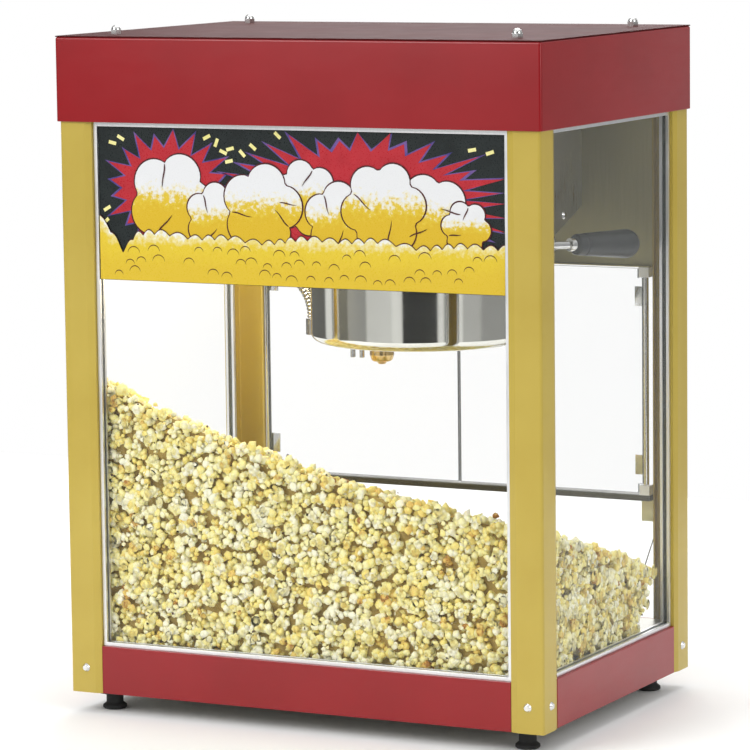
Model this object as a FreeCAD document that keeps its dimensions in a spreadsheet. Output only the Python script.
import FreeCAD, Part, Sketcher
import math
import os
import re

# Countertop popcorn maker: a red base and canopy on four folded corner posts, glass on three sides,
# two clear doors at the back, and a tilting kettle with a driven stirrer under the canopy.
# X runs to the right seen from the front, the front faces -Y, Z is up, the origin is on the table.

doc = FreeCAD.newDocument("popcorn_maker")
sheet = doc.addObject("Spreadsheet::Sheet", "sizes")

SIZES = {
    # cabinet
    "body_width": 515.0,
    "body_depth": 356.0,
    "post_height": 566.5,
    "foot_height": 20.0,
    "base_height": 47.5,
    "canopy_height": 83.5,
    "canopy_overhang": 2.5,
    "panel_sheet": 1.2,
    "rim_flange": 16.0,
    "tray_edge": 12.0,
    "slip": 0.3,
    # corner posts
    "post_leg": 34.5,
    "post_sheet": 1.5,
    "post_corner": 3.0,
    "post_bend_run": 7.0,
    "post_bend_drop": 2.0,
    "post_return": 8.0,
    "post_screw_along": 17.0,
    "post_screw_up": 25.0,
    "screw_radius": 2.1,
    "screw_head_radius": 4.4,
    "screw_head_height": 2.2,
    # glazing
    "glass_thick": 4.0,
    "glass_setback": 8.0,
    "channel_face": 4.0,
    "channel_depth": 10.0,
    "channel_groove": 2.5,
    "sign_height": 150.0,
    "sign_thick": 0.4,
    # feet
    "foot_inset": 31.0,
    "foot_flange_radius": 19.0,
    "foot_flange_thick": 3.0,
    "foot_neck_radius": 8.5,
    "foot_pad_radius": 12.0,
    "foot_pad_thick": 6.0,
    # canopy top
    "nut_inset": 44.0,
    "nut_radius": 5.8,
    "nut_height": 4.5,
    # back of the cabinet
    "control_height": 159.0,
    "control_setback": 5.0,
    "control_flange": 12.0,
    "rail_top": 176.0,
    "rail_thick": 6.0,
    "rail_depth": 12.0,
    "rail_setback": 6.0,
    "ramp_thick": 3.0,
    "ramp_bend_down": 40.0,
    "ramp_run": 78.0,
    "bracket_size": 14.0,
    # doors
    "door_thick": 4.0,
    "door_setback": 11.0,
    "door_gap": 1.5,
    "door_split": 8.0,
    "hinge_inset": 6.0,
    "hinge_rod_radius": 3.0,
    "hinge_block_size": 11.0,
    "hinge_block_height": 10.0,
    "hinge_leaf_length": 13.0,
    "hinge_leaf_height": 20.0,
    "hinge_leaf_thick": 1.5,
    "knob_radius": 9.0,
    "knob_length": 12.0,
    "knob_edge": 20.0,
    "knob_drop": 41.0,
    # kettle
    "kettle_x": 44.0,
    "kettle_y": 10.0,
    "kettle_radius": 112.0,
    "kettle_under": 344.0,
    "kettle_height": 118.0,
    "kettle_edge": 10.0,
    "kettle_sheet": 1.2,
    "pan_gap": 6.0,
    "pan_sheet": 1.5,
    "pan_lift": 14.0,
    "pan_slope": 10.0,
    "element_radius": 70.0,
    "element_wire": 3.5,
    "pivot_drop": 20.0,
    "pivot_radius": 8.0,
    "trunnion_out": 5.0,
    "hanger_gap": 11.5,
    "hanger_sheet": 1.5,
    "hanger_half": 106.0,
    "hanger_shoulder": 30.0,
    "hanger_apex_half": 24.0,
    "hanger_apex_below": 18.0,
    "hanger_foot": 18.0,
    "run_clear": 0.05,
    "cap_x": -24.0,
    "cap_y": -45.0,
    "cap_radius": 12.0,
    "cap_drop": 20.0,
    "stud_radius": 2.5,
    "stud_drop": 15.0,
    "stud_pitch": 10.0,
    # lids and bridge
    "bridge_half": 12.0,
    "bridge_thick": 3.0,
    "boss_radius": 12.0,
    "boss_height": 10.0,
    "lid_pin_out": 4.0,
    "lid_pin_radius": 2.0,
    "lid_knuckle_radius": 3.6,
    "lid_thick": 1.2,
    "lid_lift": 0.5,
    "tab_half": 14.0,
    "tab_height": 9.0,
    "tab_inset": 5.0,
    "lug_thick": 4.0,
    # stirrer and drive
    "stirrer_radius": 6.0,
    "tang_width": 4.0,
    "tang_half": 8.0,
    "tang_height": 16.0,
    "arm_inset": 20.0,
    "arm_thick": 3.0,
    "arm_height": 9.0,
    "hub_rise": 3.0,
    "drive_radius": 5.0,
    "fork_radius": 14.0,
    "fork_height": 8.0,
    "fork_web": 3.0,
    "fork_slot": 5.0,
    "tang_play": 0.5,
    "motor_width": 84.0,
    "motor_depth": 62.0,
    "motor_height": 48.0,
    "can_radius": 22.0,
    "can_length": 46.0,
    # dump handle
    "handle_turn": 24.0,
    "handle_droop": 3.0,
    "handle_rod_radius": 4.0,
    "handle_rod_length": 36.0,
    "hub_wall": 3.0,
    "hub_gap": 1.5,
    "hub_length": 13.0,
    "collar_radius": 6.5,
    "collar_length": 10.0,
    "grip_near_radius": 10.5,
    "grip_far_radius": 14.5,
    "grip_length": 68.0,
    # kettle lead
    "lead_radius": 5.5,
    "elbow_out": 12.0,
    "elbow_bury": 6.0,
    "elbow_radius": 7.0,
    "elbow_tall": 16.0,
    "fitting_radius": 9.0,
    "fitting_nut": 5.0,
    "fitting_tall": 18.0,
    # lamp
    "lamp_x": -165.0,
    "lamp_y": -40.0,
    "socket_radius": 19.0,
    "socket_plate": 3.0,
    "socket_length": 32.0,
    "bulb_radius": 27.0,
    "bulb_neck": 13.0,
    # controls
    "rocker_pitch": 46.0,
    "rocker_x": -110.0,
    "rocker_up": 80.0,
    "rocker_radius": 8.4,
    "rocker_length": 24.0,
    "rocker_tilt": 7.0,
    "bezel_rim": 3.2,
    "bezel_proud": 2.0,
    "bezel_wall": 1.2,
    "bezel_floor": 2.0,
    "bezel_depth": 16.0,
    "inlet_x": 120.0,
    "inlet_width": 34.0,
    "inlet_height": 28.0,
    "inlet_depth": 22.0,
    "inlet_wall": 5.0,
    "inlet_rim": 3.0,
    "inlet_proud": 2.0,
    "blade_pitch": 7.0,
    "blade_rise": 4.0,
    # drawer
    "drawer_half": 134.0,
    "drawer_long": 214.0,
    "drawer_front_gap": 8.0,
    "drawer_tall": 32.0,
    "drawer_lift": 1.0,
    "finger_half": 32.0,
    "finger_tall": 15.0,
    # popcorn, heights above the deck
    "heap_front_left": 275.0,
    "heap_front_mid": 190.0,
    "heap_front_right": 149.0,
    "heap_rear_left": 118.0,
    "heap_rear_right": 58.0,
    # deck slots
    "slot_long": 30.0,
    "slot_wide": 4.0,
    "slot_pitch_x": 36.0,
    "slot_pitch_y": 42.0,
}

for row, (alias, number) in enumerate(SIZES.items(), start=1):
    sheet.set(f"A{row}", alias)
    sheet.set(f"B{row}", str(number))
    sheet.setAlias(f"B{row}", alias)
doc.recompute()

ALIAS = re.compile(r"\b(" + "|".join(sorted(SIZES, key=len, reverse=True)) + r")\b")
NODES = {}


def cell(text):
    """Turn the plain names in an expression into references to the sheet's cells."""
    return ALIAS.sub(r"sizes.\1", str(text))


def add(kind, name, **bindings):
    """Add an object and bind its properties; a double underscore stands for a dot."""
    item = doc.addObject(kind, name)
    for prop, text in bindings.items():
        item.setExpression(prop.replace("__", "."), cell(text))
    return item


def move(item, x=None, y=None, z=None):
    for axis, text in zip("xyz", (x, y, z)):
        if text is not None:
            item.setExpression(f"Placement.Base.{axis}", cell(text))
    return item


def box(name, x, y, z):
    """A box between a low and a high expression along each axis."""
    item = doc.addObject("Part::Box", name)
    for size, (low, high) in zip(("Length", "Width", "Height"), (x, y, z)):
        item.setExpression(size, cell(f"({high}) - ({low})"))
    return move(item, x[0], y[0], z[0])


TURNS = {
    "+z": FreeCAD.Rotation(),
    "-z": FreeCAD.Rotation(FreeCAD.Vector(1, 0, 0), 180),
    "+x": FreeCAD.Rotation(FreeCAD.Vector(0, 1, 0), 90),
    "-x": FreeCAD.Rotation(FreeCAD.Vector(0, 1, 0), -90),
    "+y": FreeCAD.Rotation(FreeCAD.Vector(1, 0, 0), -90),
    "-y": FreeCAD.Rotation(FreeCAD.Vector(1, 0, 0), 90),
}


def rod(name, radius, length, x, y, z, way="+z"):
    item = add("Part::Cylinder", name, Radius=radius, Height=length)
    item.Placement.Rotation = TURNS[way]
    return move(item, x, y, z)


def cone(name, radius1, radius2, length, x, y, z, way="+z"):
    item = add("Part::Cone", name, Radius1=radius1, Radius2=radius2, Height=length)
    item.Placement.Rotation = TURNS[way]
    return move(item, x, y, z)


def cut(name, base, tools):
    """Take one tool, or several gathered in a compound, away from the base."""
    item = doc.addObject("Part::Cut", name)
    item.Base = base
    item.Tool = tools[0] if len(tools) == 1 else gather(f"{name}_tools", tools)
    return item


def fuse(name, shapes):
    item = doc.addObject("Part::MultiFuse", name)
    item.Shapes = shapes
    item.Refine = True
    return item


def gather(name, shapes):
    item = doc.addObject("Part::Compound", name)
    item.Links = shapes
    return item


def node(name, item):
    """Keep an object as one sub-part, under the name of its file."""
    item.Label = name
    NODES[name] = item
    return item


def plane_of(body, role):
    return next(f for f in body.Origin.OriginFeatures if f.Role == role)


def outline(body, name, role, points, lift="0"):
    """A closed sketch of straight lines whose corners are held at the given expressions."""
    sketch = body.newObject("Sketcher::SketchObject", name)
    sketch.AttachmentSupport = [(plane_of(body, role), "")]
    sketch.MapMode = "FlatFace"
    sketch.setExpression("AttachmentOffset.Base.z", cell(lift))
    count = len(points)
    spread = [
        FreeCAD.Vector(math.cos(2 * math.pi * i / count), math.sin(2 * math.pi * i / count), 0) * 50
        for i in range(count)
    ]
    for i in range(count):
        sketch.addGeometry(Part.LineSegment(spread[i], spread[(i + 1) % count]))
    for i, (across, up) in enumerate(points):
        sketch.addConstraint(Sketcher.Constraint("Coincident", (i - 1) % count, 2, i, 1))
        for kind, text, axis in (("DistanceX", across, -2), ("DistanceY", up, -1)):
            if str(text) == "0":
                sketch.addConstraint(Sketcher.Constraint("PointOnObject", i, 1, axis))
                continue
            start = spread[i].x if kind == "DistanceX" else spread[i].y
            index = sketch.addConstraint(Sketcher.Constraint(kind, -1, 1, i, 1, start))
            sketch.setExpression(f"Constraints[{index}]", cell(text))
    return sketch


def prism(name, role, points, length, lift="0"):
    """A body padded from an outline; lift moves the outline along the plane's normal."""
    body = doc.addObject("PartDesign::Body", name)
    sketch = outline(body, f"{name}_outline", role, points, lift)
    pad = body.newObject("PartDesign::Pad", f"{name}_pad")
    pad.Profile = sketch
    pad.setExpression("Length", cell(length))
    return body


def turned(name, points, x, y, z):
    """A body turned about a vertical axis at x, y from an outline of radius and height."""
    body = doc.addObject("PartDesign::Body", name)
    sketch = outline(body, f"{name}_outline", "XZ_Plane", points)
    turn = body.newObject("PartDesign::Revolution", f"{name}_turn")
    turn.Profile = sketch
    turn.ReferenceAxis = (sketch, ["V_Axis"])
    turn.Angle = 360
    return move(body, x, y, z)


# Places that many pieces share.
HALF_W = "body_width / 2"
HALF_D = "body_depth / 2"
BASE_TOP = "(foot_height + base_height)"
POST_TOP = "(foot_height + post_height)"
INNER_X = "(body_width / 2 - post_leg)"
INNER_Y = "(body_depth / 2 - post_leg)"
SIDES = {"left": -1, "right": 1}
ENDS = {"front": -1, "rear": 1}


# ---- corner posts -------------------------------------------------------------------------------

def corner_post(name, quarter_turns, x, y):
    """Folded sheet: two equal legs, each with a slightly turned strip and a return lip."""
    flat_end = "(post_leg - post_bend_run)"
    leg = [
        (flat_end, "0"),
        ("post_leg", "post_bend_drop"),
        ("post_leg", "post_bend_drop + post_return"),
        ("post_leg - post_sheet", "post_bend_drop + post_return"),
        ("post_leg - post_sheet", "post_bend_drop + post_sheet"),
        (flat_end, "post_sheet"),
    ]
    other = [(up, across) for across, up in reversed(leg)]
    points = [("0", "0")] + leg + [("post_sheet", "post_sheet")] + other
    body = prism(name, "XY_Plane", points, "post_height")
    doc.recompute()
    bends = {"outer": (0.0, "post_corner"), "inner": (SIZES["post_sheet"], "post_corner - post_sheet")}
    for which, (spot, radius) in bends.items():
        solid = body.Tip
        edges = [
            f"Edge{i}"
            for i, edge in enumerate(solid.Shape.Edges, start=1)
            if all(abs(v.X - spot) < 1e-6 and abs(v.Y - spot) < 1e-6 for v in edge.Vertexes)
        ]
        bend = body.newObject("PartDesign::Fillet", f"{name}_{which}_bend")
        bend.Base = (solid, edges)
        bend.setExpression("Radius", cell(radius))
        body.Tip = bend
        doc.recompute()
    for role in ("XZ_Plane", "YZ_Plane"):
        sketch = body.newObject("Sketcher::SketchObject", f"{name}_{role[:2]}_hole")
        sketch.AttachmentSupport = [(plane_of(body, role), "")]
        sketch.MapMode = "FlatFace"
        sketch.addGeometry(Part.Circle(FreeCAD.Vector(17, 25, 0), FreeCAD.Vector(0, 0, 1), 2))
        for kind, text in (("DistanceX", "post_screw_along"), ("DistanceY", "post_screw_up")):
            index = sketch.addConstraint(Sketcher.Constraint(kind, -1, 1, 0, 3, 20.0))
            sketch.setExpression(f"Constraints[{index}]", cell(text))
        index = sketch.addConstraint(Sketcher.Constraint("Radius", 0, 2.0))
        sketch.setExpression(f"Constraints[{index}]", cell("screw_radius"))
        pocket = body.newObject("PartDesign::Pocket", f"{name}_{role[:2]}_drill")
        pocket.Profile = sketch
        pocket.Type = "Length"
        pocket.setExpression("Length", cell("2 * post_leg"))
        pocket.Midplane = True
        body.Tip = pocket
    body.Placement.Rotation = FreeCAD.Rotation(FreeCAD.Vector(0, 0, 1), 90 * quarter_turns)
    return node(name, move(body, x, y, "foot_height"))


corner_post("post_front_left", 0, f"-{HALF_W}", f"-{HALF_D}")
corner_post("post_front_right", 1, HALF_W, f"-{HALF_D}")
corner_post("post_rear_right", 2, HALF_W, HALF_D)
corner_post("post_rear_left", 3, f"-{HALF_W}", HALF_D)


# ---- base ---------------------------------------------------------------------------------------

BASE_X = f"({HALF_W} - post_sheet)"
BASE_Y = f"({HALF_D} - post_sheet)"


def span(half):
    return (f"-({half})", half)


def corner_blocks(name, grow, low, high):
    """Four upright blocks that clear the corner posts, grown inwards by a wall."""
    return [
        box(f"{name}_{end}_{side}", *(
            (f"{inner} - ({grow})", f"{inner} + post_leg + 1") if way > 0
            else (f"-{inner} - post_leg - 1", f"-{inner} + ({grow})")
            for way, inner in ((sx, INNER_X), (sy, INNER_Y))
        ), (low, high))
        for side, sx in SIDES.items()
        for end, sy in ENDS.items()
    ]


def base_block(name, inset, low, high, grow):
    """A block of the base's plan, with its corners cut back for the posts."""
    block = box(f"{name}_block", span(f"{BASE_X} - ({inset})"), span(f"{BASE_Y} - ({inset})"), (low, high))
    return cut(name, block, corner_blocks(f"{name}_corner", grow, f"{low} - 1", f"{high} + 1"))


shell = base_block("base_outer", "0", "foot_height", BASE_TOP, "slip")
hollow = base_block("base_hollow", "panel_sheet", "foot_height - 1", f"{BASE_TOP} - panel_sheet",
                    "slip + panel_sheet")
mouth = base_block("base_mouth", "rim_flange", f"{BASE_TOP} - 2 * panel_sheet", f"{BASE_TOP} + 1",
                   "slip + rim_flange / 2")
DRAWER_LOW = "(foot_height + panel_sheet + drawer_lift)"
drawer_way = box(
    "base_drawer_way",
    span("drawer_half + 1"),
    (f"{BASE_Y} - 2 * panel_sheet", f"{BASE_Y} + 1"),
    (f"{DRAWER_LOW} - drawer_lift", f"{DRAWER_LOW} + drawer_tall + 1"),
)
# The floor plate reaches into the posts' corners, where the feet are screwed to it.
FLOOR = ("foot_height", "foot_height + panel_sheet")
LIP_CLEAR = "(post_bend_drop + post_return + 2 * slip)"
floor_plates = [
    box("floor_long", span(f"{BASE_X} - panel_sheet"), span(f"{INNER_Y} - slip - panel_sheet"), FLOOR),
    box("floor_deep", span(f"{INNER_X} - slip - panel_sheet"), span(f"{BASE_Y} - panel_sheet"), FLOOR),
    box("floor_corners", span(f"{HALF_W} - {LIP_CLEAR}"), span(f"{HALF_D} - {LIP_CLEAR}"), FLOOR),
]
node("base_shell", cut("base_shell_cut", shell, [hollow, mouth, drawer_way, floor_plates[2]]))

guides = [
    box(
        f"floor_guide_{side}",
        (f"{sign} * (drawer_half + 2) - panel_sheet / 2", f"{sign} * (drawer_half + 2) + panel_sheet / 2"),
        (f"{BASE_Y} - panel_sheet - drawer_long", f"{BASE_Y} - 2 * panel_sheet"),
        ("foot_height", "foot_height + panel_sheet + drawer_tall / 2"),
    )
    for side, sign in SIDES.items()
]
node("base_floor", fuse("base_floor_fuse", floor_plates + guides))

# The deck lies on the base's rim, inside the glazing, and drops loose kernels into the drawer.
DECK_TOP = f"({BASE_TOP} + panel_sheet)"
RING_IN = "(glass_setback - (channel_depth - glass_thick) / 2)"
DECK_X = f"({HALF_W} - {RING_IN} - channel_depth - slip)"
DECK_FRONT = f"({HALF_D} - {RING_IN} - channel_depth - slip)"
DECK_REAR = f"({HALF_D} - {LIP_CLEAR})"
deck_plate = box("deck_plate", span(DECK_X), (f"-{DECK_FRONT}", DECK_REAR), (BASE_TOP, DECK_TOP))
slots = [
    box(
        f"deck_slot_{column}_{line}",
        (f"{column - 3} * slot_pitch_x - slot_long / 2", f"{column - 3} * slot_pitch_x + slot_long / 2"),
        (f"{line - 1} * slot_pitch_y - slot_wide / 2", f"{line - 1} * slot_pitch_y + slot_wide / 2"),
        (f"{BASE_TOP} - 1", f"{DECK_TOP} + 1"),
    )
    for column in range(7)
    for line in range(3)
]
node("deck", cut("deck_cut", deck_plate, slots))


def foot(name, x, y):
    """Moulded rubber foot: a flange under the base, a narrow neck and a flared pad."""
    flange_low = "(foot_height - foot_flange_thick)"
    points = [
        ("0", "0"),
        ("foot_pad_radius", "0"),
        ("foot_pad_radius", "foot_pad_thick / 2"),
        ("foot_neck_radius", "foot_pad_thick"),
        ("foot_neck_radius", f"{flange_low} - foot_flange_thick"),
        ("foot_flange_radius", flange_low),
        ("foot_flange_radius", "foot_height"),
        ("0", "foot_height"),
    ]
    return turned(name, points, x, y, "0")


feet = [
    foot(f"foot_{end}_{side}", f"{sx} * ({HALF_W} - foot_inset)", f"{sy} * ({HALF_D} - foot_inset)")
    for side, sx in SIDES.items()
    for end, sy in ENDS.items()
]
node("feet", gather("feet_group", feet))


# ---- glazing ------------------------------------------------------------------------------------

RING_LOW = BASE_TOP
RING_HIGH = f"({POST_TOP} - slip)"
GLASS_LOW = f"({RING_LOW} + channel_face - channel_groove + slip)"
GLASS_HIGH = f"({RING_HIGH} - channel_face + channel_groove - slip)"
GLASS_IN = "(channel_face - channel_groove + slip)"


def glazing(name, half, face, sign, along_x):
    """A U-channel ring and the pane in it; face is the outside of the posts on that side."""
    def wall(near, far):
        low, high = f"{face} - ({far})", f"{face} - ({near})"
        return (low, high) if sign > 0 else (f"-({high})", f"-({low})")

    def ring_box(label, across, thick, up):
        return box(label, *((across, thick, up) if along_x else (thick, across, up)))

    outer = ring_box(f"{name}_outer", span(f"{half} - slip"), wall(RING_IN, f"{RING_IN} + channel_depth"),
                     (RING_LOW, RING_HIGH))
    window = ring_box(f"{name}_window", span(f"{half} - slip - channel_face"),
                      wall(f"{RING_IN} - 1", f"{RING_IN} + channel_depth + 1"),
                      (f"{RING_LOW} + channel_face", f"{RING_HIGH} - channel_face"))
    groove = ring_box(f"{name}_groove", span(f"{half} - slip - channel_face + channel_groove"),
                      wall("glass_setback", "glass_setback + glass_thick"),
                      (f"{RING_LOW} + channel_face - channel_groove",
                       f"{RING_HIGH} - channel_face + channel_groove"))
    ring = cut(f"{name}_ring", outer, [window, groove])
    pane = ring_box(f"{name}_pane", span(f"{half} - slip - {GLASS_IN}"),
                    wall("glass_setback", "glass_setback + glass_thick"), (GLASS_LOW, GLASS_HIGH))
    return ring, pane


ring, pane = glazing("front", INNER_X, HALF_D, -1, True)
node("glazing_front", ring)
node("glass_front", pane)
side_rings = []
for side, sign in SIDES.items():
    ring, pane = glazing(side, INNER_Y, HALF_W, sign, False)
    side_rings.append(ring)
    node(f"glass_{side}", pane)
node("glazing_sides", gather("glazing_sides_group", side_rings))

SIGN_HIGH = f"({RING_HIGH} - channel_face)"
node("sign_film", box(
    "sign_film_box",
    span(f"{INNER_X} - slip - channel_face"),
    (f"-{HALF_D} + glass_setback - sign_thick", f"-{HALF_D} + glass_setback"),
    (f"{SIGN_HIGH} - sign_height", SIGN_HIGH),
))


# ---- canopy -------------------------------------------------------------------------------------

CANOPY_X = f"({HALF_W} + canopy_overhang)"
CANOPY_Y = f"({HALF_D} + canopy_overhang)"
CANOPY_TOP = f"({POST_TOP} + canopy_height)"

canopy_outer = box("canopy_outer", span(CANOPY_X), span(CANOPY_Y),
                   (POST_TOP, f"{CANOPY_TOP} - panel_sheet"))
canopy_hollow = box("canopy_hollow", span(f"{CANOPY_X} - panel_sheet"), span(f"{CANOPY_Y} - panel_sheet"),
                    (f"{POST_TOP} - 1", f"{CANOPY_TOP} - 2 * panel_sheet"))
canopy_mouth = box("canopy_mouth", span(f"{CANOPY_X} - rim_flange"), span(f"{CANOPY_Y} - rim_flange"),
                   (f"{CANOPY_TOP} - 3 * panel_sheet", CANOPY_TOP))
node("canopy_shell", cut("canopy_shell_cut", canopy_outer, [canopy_hollow, canopy_mouth]))
node("canopy_top", box("canopy_top_box", span(f"{CANOPY_X} - slip"), span(f"{CANOPY_Y} - slip"),
                       (f"{CANOPY_TOP} - panel_sheet", CANOPY_TOP)))


def cap_nut(name, x, y):
    """Acorn nut: a hexagon with a dome on it."""
    hexagon = add("Part::Prism", f"{name}_hex", Circumradius="nut_radius", Height="nut_height")
    hexagon.Polygon = 6
    move(hexagon, x, y, CANOPY_TOP)
    dome = add("Part::Sphere", f"{name}_dome", Radius="nut_radius * 0.82")
    dome.Angle1 = 0
    move(dome, x, y, f"{CANOPY_TOP} + nut_height")
    return fuse(name, [hexagon, dome])


nuts = [
    cap_nut(f"nut_{end}_{side}", f"{sx} * ({CANOPY_X} - nut_inset)", f"{sy} * ({CANOPY_Y} - nut_inset)")
    for side, sx in SIDES.items()
    for end, sy in ENDS.items()
]
node("canopy_nuts", gather("canopy_nuts_group", nuts))

CEILING_LOW = POST_TOP
CEILING_TOP = f"({POST_TOP} + panel_sheet)"
ceiling_plate = box("ceiling_plate", span(f"{CANOPY_X} - panel_sheet"), span(f"{CANOPY_Y} - panel_sheet"),
                    (CEILING_LOW, f"{CEILING_TOP} + tray_edge"))
ceiling_tray = box("ceiling_tray", span(f"{CANOPY_X} - 2 * panel_sheet"),
                   span(f"{CANOPY_Y} - 2 * panel_sheet"), (CEILING_TOP, f"{CEILING_TOP} + tray_edge + 1"))
drive_hole = rod("ceiling_drive_hole", "fork_radius + 2", "panel_sheet * 4", "kettle_x", "kettle_y",
                 f"{CEILING_LOW} - panel_sheet")
lamp_hole = rod("ceiling_lamp_hole", "socket_radius * 0.6", "panel_sheet * 4", "lamp_x", "lamp_y",
                f"{CEILING_LOW} - panel_sheet")
node("ceiling_pan", cut("ceiling_pan_cut", ceiling_plate, [ceiling_tray, drive_hole, lamp_hole]))


# ---- back: control panel, rail, ramp ------------------------------------------------------------

CONTROL_LOW = f"({POST_TOP} - control_height)"
CONTROL_OUT = f"({HALF_D} - control_setback)"
BACK_X = f"({INNER_X} - slip)"
BEZEL_Z = f"({CONTROL_LOW} + rocker_up)"

control_face = box("control_face", span(BACK_X), (f"{CONTROL_OUT} - panel_sheet", CONTROL_OUT),
                   (CONTROL_LOW, POST_TOP))
control_lip = box("control_lip", span(BACK_X), (f"{CONTROL_OUT} - control_flange", CONTROL_OUT),
                  (CONTROL_LOW, f"{CONTROL_LOW} + panel_sheet"))
rocker_ways = []
bezels = []
ROCKERS = ("heat", "motor", "light")
ROCKER_HALF_TALL = "(rocker_radius + slip)"
ROCKER_HALF_WIDE = "(rocker_length / 2 + slip)"


def rocker_place(order):
    return f"(rocker_x + {order - 1} * rocker_pitch)"


for order, job in enumerate(ROCKERS):
    middle = rocker_place(order)

    def window(label, wide, tall, depth):
        return box(label, (f"{middle} - ({wide})", f"{middle} + ({wide})"), depth,
                   (f"{BEZEL_Z} - ({tall})", f"{BEZEL_Z} + ({tall})"))

    rocker_ways.append(window(f"{job}_way", f"{ROCKER_HALF_WIDE} + bezel_wall",
                              f"{ROCKER_HALF_TALL} + bezel_wall",
                              (f"{CONTROL_OUT} - 2 * panel_sheet", f"{CONTROL_OUT} + 1")))
    rim = window(f"{job}_rim", f"{ROCKER_HALF_WIDE} + bezel_rim", f"{ROCKER_HALF_TALL} + bezel_rim",
                 (CONTROL_OUT, f"{CONTROL_OUT} + bezel_proud"))
    barrel = window(f"{job}_barrel", f"{ROCKER_HALF_WIDE} + bezel_wall",
                    f"{ROCKER_HALF_TALL} + bezel_wall", (f"{CONTROL_OUT} - bezel_depth", CONTROL_OUT))
    hole = window(f"{job}_hole", ROCKER_HALF_WIDE, ROCKER_HALF_TALL,
                  (f"{CONTROL_OUT} - bezel_depth + bezel_floor", f"{CONTROL_OUT} + bezel_proud + 1"))
    bezels.append(cut(f"{job}_bezel", fuse(f"{job}_bezel_body", [rim, barrel]), [hole]))
node("switch_bezels", gather("switch_bezels_group", bezels))


def inlet_box(label, grow, near, far):
    return box(label, (f"inlet_x - inlet_width / 2 - ({grow})", f"inlet_x + inlet_width / 2 + ({grow})"),
               (f"{CONTROL_OUT} - ({near})", f"{CONTROL_OUT} - ({far})"),
               (f"{BEZEL_Z} - inlet_height / 2 - ({grow})", f"{BEZEL_Z} + inlet_height / 2 + ({grow})"))


inlet_way = inlet_box("inlet_way", "slip", "2 * panel_sheet", "-1")
inlet = cut("inlet_cut", fuse("inlet_body", [
    inlet_box("inlet_case", "0", "inlet_depth", "0"),
    inlet_box("inlet_rim_plate", "inlet_rim", "0", "-inlet_proud"),
]), [inlet_box("inlet_socket", "-inlet_wall", "inlet_depth - inlet_wall", "-inlet_proud - 1")])
blades = [
    box(f"inlet_blade_{i}", (f"inlet_x + {i - 1} * blade_pitch - 1", f"inlet_x + {i - 1} * blade_pitch + 1"),
        (f"{CONTROL_OUT} - inlet_depth + inlet_wall - 1", f"{CONTROL_OUT} - inlet_rim"),
        (f"{BEZEL_Z} + {i % 2 - 1} * blade_rise", f"{BEZEL_Z} + {i % 2} * blade_rise"))
    for i in range(3)
]
node("power_inlet", fuse("power_inlet_fuse", [inlet] + blades))
node("control_panel", cut("control_panel_cut", fuse("control_panel_body", [control_face, control_lip]),
                          rocker_ways + [inlet_way]))

RAIL_TOP = "(foot_height + rail_top)"
RAIL_OUT = f"({HALF_D} - rail_setback)"
node("rear_rail", box("rear_rail_box", span(BACK_X), (f"{RAIL_OUT} - rail_depth", RAIL_OUT),
                      (f"{RAIL_TOP} - rail_thick", RAIL_TOP)))

RAMP_OUT = f"({RAIL_OUT} - slip)"
RAMP_BEND = f"({RAIL_TOP} - rail_thick - ramp_bend_down)"
ramp_points = [
    (RAMP_OUT, f"{RAIL_TOP} - rail_thick"),
    (f"{RAMP_OUT} - ramp_thick", f"{RAIL_TOP} - rail_thick"),
    (f"{RAMP_OUT} - ramp_thick", f"{RAMP_BEND} + ramp_thick * 0.4"),
    (f"{RAMP_OUT} - ramp_run - ramp_thick", DECK_TOP),
    (f"{RAMP_OUT} - ramp_run + ramp_thick * 0.4", DECK_TOP),
    (RAMP_OUT, RAMP_BEND),
]
node("ramp_panel", move(prism("ramp_panel_body", "YZ_Plane", ramp_points, f"2 * {BACK_X}"),
                        x=f"-({BACK_X})"))
brackets = []
for side, sign in SIDES.items():
    ends = [f"{sign} * ({BACK_X})", f"{sign} * ({BACK_X} - bracket_size)"]
    low, high = ends if sign < 0 else reversed(ends)
    brackets.append(box(f"bracket_{side}", (low, high), (RAMP_OUT, f"{RAMP_OUT} + panel_sheet * 1.5"),
                        (f"{RAIL_TOP} - rail_thick - 1.6 * bracket_size", f"{RAIL_TOP} - rail_thick")))
node("ramp_brackets", gather("ramp_brackets_group", brackets))


# ---- doors --------------------------------------------------------------------------------------

DOOR_MID = f"({HALF_D} - door_setback - door_thick / 2)"
ROD_X = f"({INNER_X} - hinge_inset)"
DOOR_LOW = f"({RAIL_TOP} + door_gap)"
DOOR_HIGH = f"({CONTROL_LOW} - door_gap)"
BLOCK_LOW = f"({RAIL_TOP} + hinge_block_height)"
BLOCK_HIGH = f"({CONTROL_LOW} - hinge_block_height)"
KNOB_Z = f"({DOOR_HIGH} - knob_drop)"
# A block's corner lies this far from the rod, so the door's notch clears it at every angle.
BLOCK_SWING = "(hinge_block_size * sqrt(2) / 2 + slip)"

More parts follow.
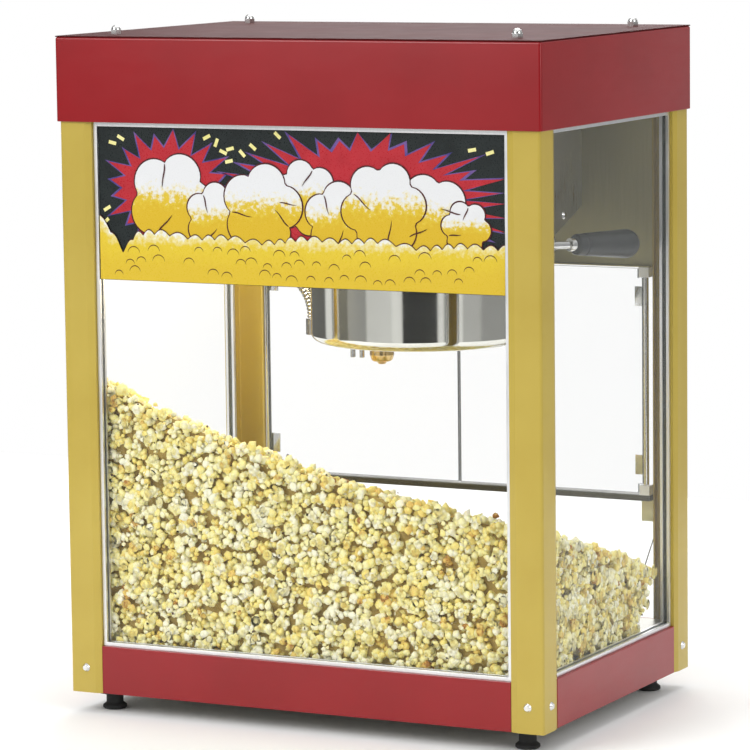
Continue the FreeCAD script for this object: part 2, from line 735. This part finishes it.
hinge_blocks = []
for side, sign in SIDES.items():
    rod_x = f"{sign} * {ROD_X}"
    for level, (low, high) in {"low": (RAIL_TOP, BLOCK_LOW), "high": (BLOCK_HIGH, CONTROL_LOW)}.items():
        block = box(f"block_{side}_{level}",
                    (f"{rod_x} - hinge_block_size / 2", f"{rod_x} + hinge_block_size / 2"),
                    (f"{DOOR_MID} - hinge_block_size / 2", f"{DOOR_MID} + hinge_block_size / 2"),
                    (low, high))
        bore = rod(f"block_bore_{side}_{level}", "hinge_rod_radius + run_clear",
                   "hinge_block_height + 2", rod_x, DOOR_MID, f"{low} - 1")
        hinge_blocks.append(cut(f"hinge_block_{side}_{level}", block, [bore]))

    edge = f"({ROD_X} - hinge_rod_radius - slip)"
    meet = f"(door_split + {sign} * door_gap / 2)"
    across = (meet, edge) if sign > 0 else (f"-{edge}", meet)
    panel = box(f"door_{side}_sheet", across,
                (f"{DOOR_MID} - door_thick / 2", f"{DOOR_MID} + door_thick / 2"), (DOOR_LOW, DOOR_HIGH))
    notch_x = (f"{ROD_X} - {BLOCK_SWING}", f"{ROD_X} + 1")
    if sign < 0:
        notch_x = tuple(f"-({x})" for x in reversed(notch_x))
    notches = [
        box(f"door_{side}_notch_{level}", notch_x,
            (f"{DOOR_MID} - door_thick", f"{DOOR_MID} + door_thick"), (low, high))
        for level, low, high in (
            ("low", f"{DOOR_LOW} - 1", f"{BLOCK_LOW} + 1"),
            ("high", f"{BLOCK_HIGH} - 1", f"{DOOR_HIGH} + 1"),
        )
    ]
    node(f"door_{side}", cut(f"door_{side}_cut", panel, notches))

    pin = rod(f"door_{side}_pin", "hinge_rod_radius", f"{CONTROL_LOW} - {RAIL_TOP} - 2", rod_x, DOOR_MID,
              f"{RAIL_TOP} + 1")
    leaves = [
        box(f"door_{side}_leaf_{level}",
            (rod_x, f"{rod_x} + hinge_leaf_length") if sign < 0 else (f"{rod_x} - hinge_leaf_length", rod_x),
            (f"{DOOR_MID} + door_thick / 2", f"{DOOR_MID} + door_thick / 2 + hinge_leaf_thick"),
            (f"{middle} - hinge_leaf_height / 2", f"{middle} + hinge_leaf_height / 2"))
        for level, middle in (
            ("low", f"({BLOCK_LOW} + hinge_leaf_height)"),
            ("high", f"({BLOCK_HIGH} - hinge_leaf_height)"),
        )
    ]
    node(f"door_{side}_hinge", fuse(f"door_{side}_hinge_fuse", [pin] + leaves))

    knob_x = f"(door_split + {sign} * (door_gap / 2 + knob_edge))"
    face = f"{DOOR_MID} + door_thick / 2"
    node(f"door_{side}_knob", fuse(f"door_{side}_knob_fuse", [
        cone(f"door_{side}_knob_neck", "knob_radius * 0.55", "knob_radius * 0.5", "knob_length / 2",
             knob_x, face, KNOB_Z, "+y"),
        cone(f"door_{side}_knob_head", "knob_radius * 0.8", "knob_radius", "knob_length / 2",
             knob_x, f"{face} + knob_length / 2", KNOB_Z, "+y"),
    ]))
node("hinge_blocks", gather("hinge_blocks_group", hinge_blocks))


# ---- drawer -------------------------------------------------------------------------------------

DRAWER_FACE = f"({BASE_Y} - slip)"
DRAWER_BACK = f"({DRAWER_FACE} - drawer_long + drawer_front_gap)"
drawer_outer = box("drawer_outer", span("drawer_half"), (DRAWER_BACK, DRAWER_FACE),
                   (DRAWER_LOW, f"{DRAWER_LOW} + drawer_tall"))
drawer_hollow = box("drawer_hollow", span("drawer_half - panel_sheet"),
                    (f"{DRAWER_BACK} + panel_sheet", f"{DRAWER_FACE} - panel_sheet"),
                    (f"{DRAWER_LOW} + panel_sheet", f"{DRAWER_LOW} + drawer_tall + 1"))
finger_way = box("drawer_finger_way", span("finger_half"), (f"{DRAWER_FACE} - 2 * panel_sheet",
                 f"{DRAWER_FACE} + 1"), (f"{DRAWER_LOW} + drawer_tall - finger_tall",
                 f"{DRAWER_LOW} + drawer_tall + 1"))
node("drawer", cut("drawer_cut", drawer_outer, [drawer_hollow, finger_way]))


# ---- kettle -------------------------------------------------------------------------------------

KETTLE_LOW = "(foot_height + kettle_under)"
KETTLE_TOP = f"({KETTLE_LOW} + kettle_height)"
PIVOT_Z = f"({KETTLE_TOP} - pivot_drop)"
JACKET_IN = "(kettle_radius - kettle_sheet)"
PAN_OUT = "(kettle_radius - pan_gap)"
PAN_LOW = f"({KETTLE_LOW} + pan_lift)"
PAN_FLOOR = f"({PAN_LOW} + pan_sheet)"
RIM_TOP = f"({KETTLE_TOP} + pan_sheet)"


def round_rim(body, spots):
    """Round the circular edges that lie at the given radius and height of a turned body."""
    doc.recompute()
    for index, (radius, height, bend) in enumerate(spots):
        solid = body.Tip
        edges = [
            f"Edge{i}"
            for i, edge in enumerate(solid.Shape.Edges, start=1)
            if isinstance(edge.Curve, Part.Circle)
            and abs(edge.Curve.Radius - radius) < 0.01
            and abs(edge.Curve.Center.z - height) < 0.01
        ]
        bent = body.newObject("PartDesign::Fillet", f"{body.Name}_round_{index}")
        bent.Base = (solid, edges)
        bent.setExpression("Radius", cell(bend))
        body.Tip = bent
        doc.recompute()


def size(alias):
    return float(sheet.get(alias))


kettle_low = size("foot_height") + size("kettle_under")
jacket = turned("kettle_jacket_body", [
    ("0", KETTLE_LOW),
    ("kettle_radius", KETTLE_LOW),
    ("kettle_radius", KETTLE_TOP),
    (JACKET_IN, KETTLE_TOP),
    (JACKET_IN, f"{KETTLE_LOW} + kettle_sheet"),
    ("0", f"{KETTLE_LOW} + kettle_sheet"),
], "kettle_x", "kettle_y", "0")
round_rim(jacket, [
    (size("kettle_radius"), kettle_low, "kettle_edge"),
    (size("kettle_radius") - size("kettle_sheet"), kettle_low + size("kettle_sheet"),
     "kettle_edge - kettle_sheet"),
])
node("kettle_jacket", jacket)

node("kettle_pan", turned("kettle_pan_body", [
    ("0", PAN_LOW),
    (f"{PAN_OUT} - pan_slope", PAN_LOW),
    (PAN_OUT, f"{PAN_LOW} + pan_slope"),
    (PAN_OUT, KETTLE_TOP),
    ("kettle_radius + pan_sheet", KETTLE_TOP),
    ("kettle_radius + pan_sheet", RIM_TOP),
    (f"{PAN_OUT} - pan_sheet", RIM_TOP),
    (f"{PAN_OUT} - pan_sheet", f"{PAN_FLOOR} + pan_slope - pan_sheet * 0.4"),
    (f"{PAN_OUT} - pan_slope - pan_sheet * 0.6", PAN_FLOOR),
    ("0", PAN_FLOOR),
], "kettle_x", "kettle_y", "0"))

element = add("Part::Torus", "element_ring", Radius1="element_radius", Radius2="element_wire")
node("heating_element", move(element, "kettle_x", "kettle_y", f"{PAN_LOW} - element_wire"))

cap = turned("bottom_cap_body", [
    ("0", f"{KETTLE_LOW} - cap_drop"),
    ("cap_radius * 0.45", f"{KETTLE_LOW} - cap_drop * 0.97"),
    ("cap_radius * 0.85", f"{KETTLE_LOW} - cap_drop * 0.8"),
    ("cap_radius", f"{KETTLE_LOW} - cap_drop * 0.55"),
    ("cap_radius", f"{KETTLE_LOW} - cap_drop * 0.2"),
    ("cap_radius * 1.25", f"{KETTLE_LOW} - cap_drop * 0.15"),
    ("cap_radius * 1.25", KETTLE_LOW),
    ("0", KETTLE_LOW),
], "kettle_x + cap_x", "kettle_y + cap_y", "0")
node("kettle_bottom_cap", cap)
studs = [
    rod(f"stud_{i}", "stud_radius", "stud_drop", f"kettle_x + cap_x - cap_radius - {i + 1} * stud_pitch",
        "kettle_y + cap_y", f"{KETTLE_LOW} - stud_drop")
    for i in range(2)
]
node("kettle_bottom_studs", gather("bottom_studs_group", studs))

# Trunnions: stubs that stand on the jacket and turn in the two hanger plates.
HANGER_X = "(kettle_radius + hanger_gap)"
jacket_solid = rod("trunnion_jacket", "kettle_radius", "4 * pivot_radius", "kettle_x", "kettle_y",
                   f"{PIVOT_Z} - 2 * pivot_radius")
trunnions = []
for side, sign in SIDES.items():
    way = "+x" if sign > 0 else "-x"
    start = "kettle_radius - kettle_sheet * 2"
    stub = rod(f"trunnion_{side}_stub", "pivot_radius",
               f"{HANGER_X} + hanger_sheet + trunnion_out - ({start})",
               f"kettle_x + {sign} * ({start})", "kettle_y", PIVOT_Z, way)
    collar = rod(f"trunnion_{side}_collar", "pivot_radius * 1.6", f"{HANGER_X} - 2 - ({start})",
                 f"kettle_x + {sign} * ({start})", "kettle_y", PIVOT_Z, way)
    trunnions.append(cut(f"trunnion_{side}", fuse(f"trunnion_{side}_body", [stub, collar]),
                         [jacket_solid]))
node("kettle_trunnions", gather("kettle_trunnions_group", trunnions))


def hanger(side, sign):
    """Plate that hangs the kettle from the ceiling, with a flange turned outwards at its top."""
    half, apex = "hanger_half", "hanger_apex_half"
    shoulder = f"{PIVOT_Z} + hanger_shoulder"
    apex_low = f"{PIVOT_Z} - hanger_apex_below"
    points = [
        (f"kettle_y - {half}", CEILING_LOW),
        (f"kettle_y - {half}", shoulder),
        (f"kettle_y - {apex}", PIVOT_Z),
        (f"kettle_y - {apex} * 0.7", apex_low),
        (f"kettle_y + {apex} * 0.7", apex_low),
        (f"kettle_y + {apex}", PIVOT_Z),
        (f"kettle_y + {half}", shoulder),
        (f"kettle_y + {half}", CEILING_LOW),
    ]
    near = f"(kettle_x + {sign} * {HANGER_X})"
    low = near if sign > 0 else f"({near} - hanger_sheet)"
    plate = move(prism(f"hanger_{side}_plate", "YZ_Plane", points, "hanger_sheet"), x=low)
    foot_x = (low, f"{low} + hanger_foot") if sign > 0 else (f"{near} - hanger_foot", near)
    flange = box(f"hanger_{side}_flange", foot_x, (f"kettle_y - {half}", f"kettle_y + {half}"),
                 (f"{CEILING_LOW} - hanger_sheet", CEILING_LOW))
    bore = rod(f"hanger_{side}_bore", "pivot_radius + run_clear", "6 * hanger_sheet",
               f"{low} - 2 * hanger_sheet", "kettle_y", PIVOT_Z, "+x")
    node(f"hanger_{side}", cut(f"hanger_{side}_cut", fuse(f"hanger_{side}_body", [plate, flange]), [bore]))


for side, sign in SIDES.items():
    hanger(side, sign)

# Bridge across the rim: it carries the stirrer's bearing and the pins of both lids.
BRIDGE_LOW = RIM_TOP
BRIDGE_TOP = f"({RIM_TOP} + bridge_thick)"
BOSS_TOP = f"({BRIDGE_TOP} + boss_height)"
PIN_OUT = "(bridge_half + lid_pin_out)"
PIN_Z = f"({RIM_TOP} + lid_lift + lid_knuckle_radius)"
LID_R = "(kettle_radius - 1)"
LUG_FAR = "(kettle_radius * 0.86)"
LUG_NEAR = "(boss_radius + lug_thick * 2)"

bridge_parts = [
    box("bridge_strip", ("kettle_x - kettle_radius", "kettle_x + kettle_radius"),
        ("kettle_y - bridge_half", "kettle_y + bridge_half"), (BRIDGE_LOW, BRIDGE_TOP)),
    rod("bridge_boss", "boss_radius", "bridge_thick + boss_height", "kettle_x", "kettle_y", BRIDGE_LOW),
]
for end, way in ENDS.items():
    pin_y = f"kettle_y + {way} * {PIN_OUT}"
    for side, sign in SIDES.items():
        for which, spot in (("near", LUG_NEAR), ("far", LUG_FAR)):
            lug_y = [f"kettle_y + {way} * (bridge_half - 2)", f"{pin_y} + {way} * (lid_pin_radius + 1)"]
            low, high = lug_y if way > 0 else reversed(lug_y)
            middle = f"kettle_x + {sign} * {spot}"
            bridge_parts.append(box(f"lug_{end}_{side}_{which}",
                                    (f"{middle} - lug_thick / 2", f"{middle} + lug_thick / 2"),
                                    (low, high), (BRIDGE_LOW, f"{PIN_Z} + lid_pin_radius + 1")))
    bridge_parts.append(rod(f"lid_pin_{end}", "lid_pin_radius", f"2 * {LUG_FAR}",
                            f"kettle_x - {LUG_FAR}", pin_y, PIN_Z, "+x"))
bearing = rod("bridge_bore", "stirrer_radius + run_clear", "bridge_thick + boss_height + 2", "kettle_x",
              "kettle_y", f"{BRIDGE_LOW} - 1")
node("kettle_bridge", cut("kettle_bridge_cut", fuse("kettle_bridge_body", bridge_parts), [bearing]))


def lid(end, way):
    """Half-round lid with two knuckles on the bridge's pin and a folded lift tab at its edge."""
    plate_y = f"kettle_y + {way} * ({PIN_OUT} + lid_knuckle_radius + 1)"
    plate_low = f"({RIM_TOP} + lid_lift)"
    disc = rod(f"lid_{end}_disc", LID_R, "lid_thick", "kettle_x", "kettle_y", plate_low)
    keep = [plate_y, f"kettle_y + {way} * (kettle_radius + 1)"]
    low, high = keep if way > 0 else reversed(keep)
    half = doc.addObject("Part::Common", f"lid_{end}_half")
    half.Base = disc
    half.Tool = box(f"lid_{end}_side", ("kettle_x - kettle_radius", "kettle_x + kettle_radius"),
                    (low, high), (f"{plate_low} - 1", f"{plate_low} + 3"))
    tab_y = [f"kettle_y + {way} * ({LID_R} - tab_inset{thick})" for thick in ("", " + lid_thick")]
    low, high = tab_y if way > 0 else reversed(tab_y)
    parts = [half, box(f"lid_{end}_tab", ("kettle_x - tab_half", "kettle_x + tab_half"), (low, high),
                       (plate_low, f"{plate_low} + tab_height"))]
    bores = []
    for side, sign in SIDES.items():
        start = f"(kettle_x + {sign} * ({LUG_NEAR} + lug_thick / 2 + slip))"
        stop = f"(kettle_x + {sign} * ({LUG_FAR} - lug_thick / 2 - slip))"
        left, right = (start, stop) if sign > 0 else (stop, start)
        parts.append(rod(f"lid_{end}_{side}_knuckle", "lid_knuckle_radius", f"{right} - {left}", left,
                         f"kettle_y + {way} * {PIN_OUT}", PIN_Z, "+x"))
        leaf_y = [f"kettle_y + {way} * {PIN_OUT}", plate_y + f" + {way} * 2"]
        low, high = leaf_y if way > 0 else reversed(leaf_y)
        parts.append(box(f"lid_{end}_{side}_leaf", (left, right), (low, high),
                         (plate_low, f"{plate_low} + lid_thick")))
        bores.append(rod(f"lid_{end}_{side}_bore", "lid_pin_radius + run_clear", f"{right} - {left} + 2",
                         f"{left} - 1", f"kettle_y + {way} * {PIN_OUT}", PIN_Z, "+x"))
    node(f"lid_{end}", cut(f"lid_{end}_cut", fuse(f"lid_{end}_body", parts), bores))


for end, way in ENDS.items():
    lid(end, way)

# Coupling under the ceiling, above the circle that the kettle's rim swings through when it tips.
# The fork straddles the stirrer's tang, and its slot lies along Y, so the tang tips out of it.
FORK_TOP = f"({CEILING_TOP} - tang_play)"
FORK_LOW = f"({FORK_TOP} - fork_height)"
FORK_ROOF = f"({FORK_TOP} - fork_web)"
TANG_TOP = f"({FORK_ROOF} - tang_play)"
TANG_LOW = f"({TANG_TOP} - tang_height)"

# Stirrer: a long shaft with a flat tang on top, and arms that sweep the pan's floor.
ARM_LOW = f"({PAN_FLOOR} + 1)"
node("stirrer_shaft", fuse("stirrer_shaft_fuse", [
    rod("stirrer_rod", "stirrer_radius", f"{TANG_LOW} + 1 - {ARM_LOW}", "kettle_x", "kettle_y", ARM_LOW),
    box("stirrer_tang", ("kettle_x - tang_width / 2", "kettle_x + tang_width / 2"),
        ("kettle_y - tang_half", "kettle_y + tang_half"), (TANG_LOW, TANG_TOP)),
]))
arms = [rod("stirrer_hub", "stirrer_radius * 1.7", "arm_height + hub_rise", "kettle_x", "kettle_y", ARM_LOW)]
for index in range(3):
    arm = box(f"stirrer_arm_{index}", ("0", "kettle_radius - arm_inset"), ("0", "arm_thick"),
              ("0", "arm_height"))
    arm.Placement.Rotation = FreeCAD.Rotation(FreeCAD.Vector(0, 0, 1), 120 * index + 15)
    arms.append(move(arm, "kettle_x", "kettle_y", ARM_LOW))
hub_bore = rod("stirrer_hub_bore", "stirrer_radius", "arm_height + 2 * hub_rise", "kettle_x", "kettle_y",
               f"{ARM_LOW} - 1")
node("stirrer_arms", cut("stirrer_arms_cut", fuse("stirrer_arms_body", arms), [hub_bore]))

# Drive: gear motor on the ceiling pan, its shaft and the fork.
DRIVE_TOP = f"({CEILING_TOP} + motor_height * 0.6)"
fork = cut("drive_fork", rod("drive_fork_disc", "fork_radius", "fork_height", "kettle_x",
                             "kettle_y", FORK_LOW), [
    box("drive_fork_slot", ("kettle_x - fork_slot / 2", "kettle_x + fork_slot / 2"),
        ("kettle_y - fork_radius - 1", "kettle_y + fork_radius + 1"), (f"{FORK_LOW} - 1", FORK_ROOF))])
node("drive_shaft", fuse("drive_shaft_fuse", [
    fork,
    rod("drive_rod", "drive_radius", f"{DRIVE_TOP} - {FORK_TOP} + 1", "kettle_x", "kettle_y",
        f"{FORK_TOP} - 1"),
]))
gearbox = box("motor_gearbox", ("kettle_x - motor_width / 2", "kettle_x + motor_width / 2"),
              ("kettle_y - motor_depth / 2", "kettle_y + motor_depth / 2"),
              (CEILING_TOP, f"{CEILING_TOP} + motor_height"))
can = rod("motor_can", "can_radius", "can_length", "kettle_x + motor_width / 2", "kettle_y",
          f"{CEILING_TOP} + motor_height / 2", "+x")
motor_bore = rod("motor_bore", "drive_radius + run_clear", "motor_height * 0.6 + 2", "kettle_x",
                 "kettle_y", f"{CEILING_TOP} - 1")
node("gear_motor", cut("gear_motor_cut", fuse("gear_motor_body", [gearbox, can]), [motor_bore]))


# ---- dump handle --------------------------------------------------------------------------------

HUB_X = f"(kettle_x + {HANGER_X} + hanger_sheet + hub_gap + hub_length / 2)"
handle_way = FreeCAD.Rotation(FreeCAD.Vector(0, 0, 1), -size("handle_turn")) * FreeCAD.Rotation(
    FreeCAD.Vector(1, 0, 0), -90 - size("handle_droop"))


def along_handle(item, distance):
    """Lay a turned piece on the handle's axis, at a distance from the hub."""
    item.Placement.Rotation = handle_way
    level = f"({distance}) * cos(handle_droop)"
    return move(
        item,
        f"{HUB_X} + {level} * sin(handle_turn)",
        f"kettle_y + {level} * cos(handle_turn)",
        f"{PIVOT_Z} - ({distance}) * sin(handle_droop)",
    )


hub = rod("handle_hub", "pivot_radius + hub_wall", "hub_length",
          f"kettle_x + {HANGER_X} + hanger_sheet + hub_gap", "kettle_y", PIVOT_Z, "+x")
hub_seat = rod("handle_hub_seat", "pivot_radius", "trunnion_out + hub_length", f"kettle_x + {HANGER_X}",
               "kettle_y", PIVOT_Z, "+x")
seat_end = box("handle_seat_end",
               (f"kettle_x + {HANGER_X}", f"kettle_x + {HANGER_X} + hanger_sheet + trunnion_out"),
               ("kettle_y - 2 * pivot_radius", "kettle_y + 2 * pivot_radius"),
               (f"{PIVOT_Z} - 2 * pivot_radius", f"{PIVOT_Z} + 2 * pivot_radius"))
trunnion_end = doc.addObject("Part::Common", "handle_trunnion_end")
trunnion_end.Base, trunnion_end.Tool = hub_seat, seat_end
lever = along_handle(add("Part::Cylinder", "handle_lever", Radius="handle_rod_radius",
                         Height="handle_rod_length"), "0")
node("handle_rod", cut("handle_rod_cut", fuse("handle_rod_body", [hub, lever]), [trunnion_end]))

collar = along_handle(add("Part::Cylinder", "handle_collar_body", Radius="collar_radius",
                          Height="collar_length"), "handle_rod_length - collar_length / 2")
rod_end = along_handle(add("Part::Cylinder", "handle_rod_end", Radius="handle_rod_radius",
                           Height="collar_length / 2"), "handle_rod_length - collar_length / 2")
node("handle_collar", cut("handle_collar_cut", collar, [rod_end]))
grip = along_handle(add("Part::Cone", "handle_grip_body", Radius1="grip_near_radius",
                        Radius2="grip_far_radius", Height="grip_length"),
                    "handle_rod_length + collar_length / 4")
grip_end = add("Part::Sphere", "handle_grip_end", Radius="grip_far_radius * 1.02")
along_handle(grip_end, "handle_rod_length + collar_length / 4 + grip_length * 0.98")
grip_bore = along_handle(add("Part::Cylinder", "handle_grip_bore", Radius="collar_radius",
                             Height="collar_length / 4"), "handle_rod_length + collar_length / 4")
node("handle_grip", cut("handle_grip_cut", fuse("handle_grip_fuse", [grip, grip_end]), [grip_bore]))


# ---- kettle lead --------------------------------------------------------------------------------

# Flexible metal conduit from the ceiling to the elbow on the kettle's left side, top to bottom.
LEAD_ROUTE = [
    (-121, 6, 568.5),
    (-121, 6, 538),
    (-124, 7, 500),
    (-116, 9, 456),
    (-99, 10, 422),
    (-80, 10, 398),
    (-80, 10, 380.3),
]
# Share of the elbow's move that each point follows when the kettle's size or place changes.
LEAD_FOLLOWS = [0, 0, 0.1, 0.4, 0.8, 1, 1]
elbow_move = (size("kettle_x") - size("kettle_radius") - size("elbow_out") - LEAD_ROUTE[-1][0],
              size("kettle_y") - LEAD_ROUTE[-1][1])
lead_route = [(x + follows * elbow_move[0], y + follows * elbow_move[1], z)
              for (x, y, z), follows in zip(LEAD_ROUTE, LEAD_FOLLOWS)]


def smooth_path(points, share=0.45):
    """Straight runs joined by tangent arcs, each as large as its two runs allow."""
    places = [FreeCAD.Vector(*point) for point in points]
    edges, radii, start = [], [], places[0]
    for before, corner, after in zip(places, places[1:], places[2:]):
        back, ahead = before - corner, after - corner
        reach = share * min(back.Length, ahead.Length)
        turn = math.pi - back.getAngle(ahead)
        back.normalize()
        ahead.normalize()
        first, last = corner + back * reach, corner + ahead * reach
        radius = reach / math.tan(turn / 2)
        bisector = back + ahead
        bisector.normalize()
        middle = corner + bisector * (math.hypot(radius, reach) - radius)
        edges += [Part.LineSegment(start, first).toShape(), Part.Arc(first, middle, last).toShape()]
        radii.append(round(radius, 1))
        start = last
    edges.append(Part.LineSegment(start, places[-1]).toShape())
    return Part.Wire(edges), radii


def tube(name, points, radius):
    path, radii = smooth_path(points)
    start = FreeCAD.Vector(*points[0])
    heading = FreeCAD.Vector(*points[1]) - start
    ring = Part.Wire([Part.Circle(start, heading, radius).toShape()])
    solid = path.makePipeShell([ring], True, False)
    item = doc.addObject("Part::Feature", name)
    item.Shape = solid
    share = solid.Volume / (math.pi * radius ** 2 * path.Length)
    print(f"{name}: length {path.Length:.1f} mm, arc radii {radii}, volume over section {share:.4f}")
    return item


node("kettle_lead", tube("kettle_lead_tube", lead_route, size("lead_radius")))
lead_x, lead_y, _ = lead_route[0]
node("lead_fitting", fuse("lead_fitting_fuse", [
    rod("lead_fitting_barrel", "fitting_radius", "fitting_tall", lead_x, lead_y,
        f"{CEILING_LOW} - fitting_tall"),
    rod("lead_fitting_nut", "fitting_radius * 1.35", "fitting_nut", lead_x, lead_y,
        f"{CEILING_LOW} - fitting_nut"),
]))
ELBOW_X = "(kettle_x - kettle_radius - elbow_out)"
elbow_jacket = rod("elbow_jacket", "kettle_radius", "3 * elbow_tall", "kettle_x", "kettle_y",
                   f"{KETTLE_LOW} - elbow_tall")
node("lead_elbow", cut("lead_elbow_cut", fuse("lead_elbow_body", [
    rod("lead_elbow_barrel", "elbow_radius", "elbow_tall", ELBOW_X, "kettle_y", KETTLE_LOW),
    rod("lead_elbow_neck", "elbow_radius * 0.8", "elbow_out + elbow_bury", ELBOW_X, "kettle_y",
        f"{KETTLE_LOW} + elbow_radius", "+x"),
]), [elbow_jacket]))


# ---- lamp ---------------------------------------------------------------------------------------

SOCKET_LOW = f"({CEILING_LOW} - socket_length)"
node("lamp_socket", fuse("lamp_socket_fuse", [
    cone("lamp_socket_cup", "socket_radius * 0.8", "socket_radius", "socket_length", "lamp_x", "lamp_y",
         SOCKET_LOW),
    rod("lamp_socket_plate", "socket_radius * 1.3", "socket_plate", "lamp_x", "lamp_y",
        f"{CEILING_LOW} - socket_plate"),
]))
BULB_Z = f"({SOCKET_LOW} - bulb_radius * 1.6)"
node("lamp_bulb", fuse("lamp_bulb_fuse", [
    move(add("Part::Sphere", "bulb_globe", Radius="bulb_radius"), "lamp_x", "lamp_y", BULB_Z),
    cone("bulb_neck_cone", "bulb_radius * 0.86", "bulb_neck", "bulb_radius * 1.1", "lamp_x", "lamp_y",
         f"{SOCKET_LOW} - bulb_radius * 1.1"),
]))


# ---- rocker switches ----------------------------------------------------------------------------

for order, job in enumerate(ROCKERS):
    barrel = rod(f"{job}_rocker_barrel", "rocker_radius", "rocker_length", "-rocker_length / 2", "0", "0",
                 "+x")
    face = box(f"{job}_rocker_face", ("-rocker_length", "rocker_length"),
               ("rocker_radius * 0.6", "rocker_radius * 2"), ("-rocker_radius * 2", "rocker_radius * 2"))
    rocker = cut(f"{job}_rocker", barrel, [face])
    rocker.Placement.Rotation = FreeCAD.Rotation(FreeCAD.Vector(1, 0, 0), size("rocker_tilt"))
    node(f"{job}_switch", move(rocker, rocker_place(order), f"{CONTROL_OUT} - 2", BEZEL_Z))


# ---- popcorn ------------------------------------------------------------------------------------

def front_height(across):
    """Height of the heap against the front glass, a parabola through its three set heights."""
    left, middle, right = (size(f"heap_front_{spot}") for spot in ("left", "mid", "right"))
    return (left + (4 * middle - 3 * left - right) * across
            + 2 * (left - 2 * middle + right) * across ** 2)


def popcorn_heap(stations=9):
    """Loft of upright sections: flat floor, sloping ramp behind, and a top that falls to the back."""
    gap = size("slip") + 0.2
    deck = size("foot_height") + size("base_height") + size("panel_sheet")
    ring_in = size("glass_setback") + (size("channel_depth") + size("glass_thick")) / 2
    half_w = size("body_width") / 2 - ring_in - gap
    front = -size("body_depth") / 2 + ring_in + gap
    ramp_top_y = (size("body_depth") / 2 - size("rail_setback") - size("slip") - size("ramp_thick")
                  - 2 * gap)
    bend = (size("foot_height") + size("rail_top") - size("rail_thick") - size("ramp_bend_down")
            + size("ramp_thick") * 0.4)
    foot_y = ramp_top_y - size("ramp_run")
    slope = (bend - deck) / size("ramp_run")
    sections = []
    for station in range(stations):
        across = station / (stations - 1)
        x = -half_w + 2 * half_w * across
        top_front = deck + front_height(across)
        top_rear = deck + size("heap_rear_left") + across * (
            size("heap_rear_right") - size("heap_rear_left"))
        knee = min(bend, deck + (top_rear - deck) * 0.6)
        rear_y = min(ramp_top_y, foot_y + (top_rear - deck) / slope)
        outline_points = [
            (front, deck),
            (foot_y, deck),
            (foot_y + (knee - deck) / slope, knee),
            (rear_y, top_rear),
            (front, top_front),
        ]
        corners = [FreeCAD.Vector(x, y, z) for y, z in outline_points]
        sections.append(Part.makePolygon(corners + corners[:1]))
    return Part.makeLoft(sections, True, True)


heap = doc.addObject("Part::Feature", "popcorn_loft")
heap.Shape = popcorn_heap()
node("popcorn", heap)


# ---- screws -------------------------------------------------------------------------------------

def screw(name, x, y, z, way, grip_length="post_sheet"):
    """Domed head on the surface at the given place, and a shank into it the other way."""
    back = {"+": "-", "-": "+"}[way[0]] + way[1]
    return fuse(name, [
        cone(f"{name}_head", "screw_head_radius", "screw_head_radius * 0.6", "screw_head_height", x, y, z,
             way),
        rod(f"{name}_shank", "screw_radius - run_clear", grip_length, x, y, z, back),
    ])


screws = []
for side, sx in SIDES.items():
    for end, sy in ENDS.items():
        screws.append(screw(f"screw_{end}_{side}", f"{sx} * ({HALF_W} - post_screw_along)",
                            f"{sy} * {HALF_D}", "foot_height + post_screw_up", "+y" if sy > 0 else "-y"))
        screws.append(screw(f"screw_{side}_{end}", f"{sx} * {HALF_W}",
                            f"{sy} * ({HALF_D} - post_screw_along)", "foot_height + post_screw_up",
                            "+x" if sx > 0 else "-x"))
for side, sign in SIDES.items():
    for end, sy in ENDS.items():
        screws.append(cone(f"hanger_screw_{side}_{end}", "screw_head_radius", "screw_head_radius * 0.6",
                          "screw_head_height", f"kettle_x + {sign} * ({HANGER_X} + hanger_foot * 0.6)",
                          f"kettle_y + {sy} * hanger_half * 0.8", f"{CEILING_LOW} - hanger_sheet", "-z"))
    outside = f"kettle_x + {sign} * ({HANGER_X} + hanger_sheet)"
    screws.append(cone(f"hanger_screw_{side}_side", "screw_head_radius", "screw_head_radius * 0.6",
                      "screw_head_height", outside, "kettle_y + hanger_half * 0.58",
                      f"{PIVOT_Z} + hanger_shoulder * 0.8", "+x" if sign > 0 else "-x"))
node("cabinet_screws", gather("cabinet_screws_group", screws))


# ---- check and write ----------------------------------------------------------------------------

doc.recompute()
broken = [item.Name for item in doc.Objects if {"Invalid", "Error"} & set(item.State)]
if broken:
    raise RuntimeError(f"these objects did not recompute: {broken}")
for name, item in NODES.items():
    if item.Shape.isNull() or not item.Shape.isValid() or not item.Shape.Solids:
        raise RuntimeError(f"{name} has no valid solid")

os.makedirs("parts", exist_ok=True)
for name, item in NODES.items():
    item.Shape.exportStep(f"parts/{name}.step")
whole = FreeCAD.BoundBox()
for item in NODES.values():
    whole.add(item.Shape.BoundBox)
print(f"{len(NODES)} sub-parts, box {whole.XLength:.1f} x {whole.YLength:.1f} x {whole.ZLength:.1f} mm, "
      f"lowest {whole.ZMin:.2f}, middle {whole.Center.x:.2f}, {whole.Center.y:.2f}")
